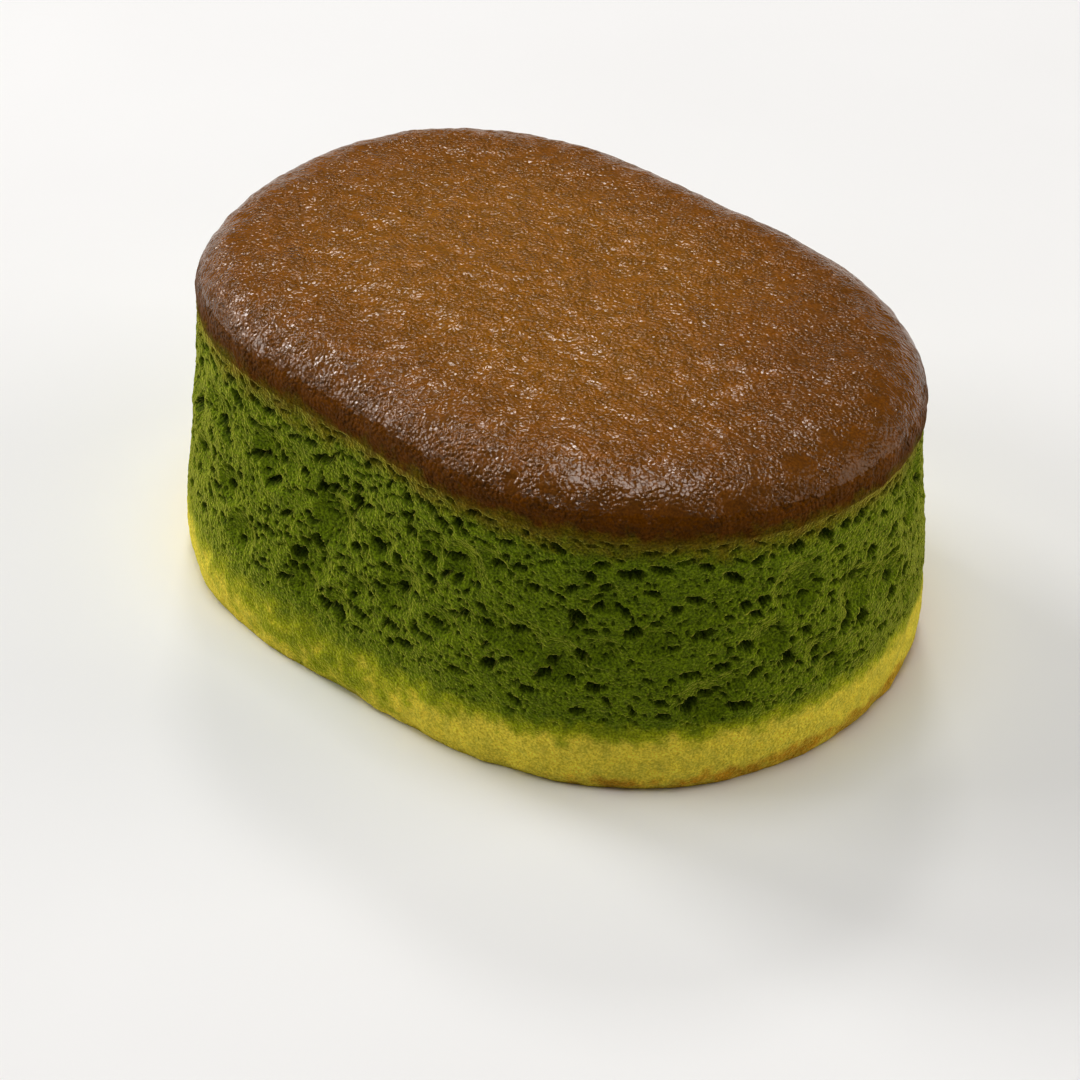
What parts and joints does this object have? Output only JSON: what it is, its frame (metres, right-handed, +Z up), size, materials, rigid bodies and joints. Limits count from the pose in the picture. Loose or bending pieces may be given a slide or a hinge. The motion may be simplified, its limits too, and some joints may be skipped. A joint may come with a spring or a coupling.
{
  "type": "matcha souffle cake",
  "caption": "Single-serve oval souffle cake: porous green crumb with a glossy browned top, baked on a thin pale sponge base, with a faint waist in one long side.",
  "frame": {"origin": "middle of the cake's box on the surface that it stands on", "axes": "+X along the cake's length, +Y across it towards the long side with the faint waist, +Z up"},
  "size_m": [0.0816, 0.062, 0.0354],
  "materials": {
    "green_crumb": "matte, moist, finely porous green cake crumb",
    "browned_skin": "thin browned baked skin, finely wrinkled, with a moist satin gloss",
    "pale_sponge": "matte yellow sponge with fine pores and a browned bottom edge"
  },
  "bodies": {
    "root": {"souffle": "green_crumb", "sponge_base": "pale_sponge"}
  },
  "joints": []
}
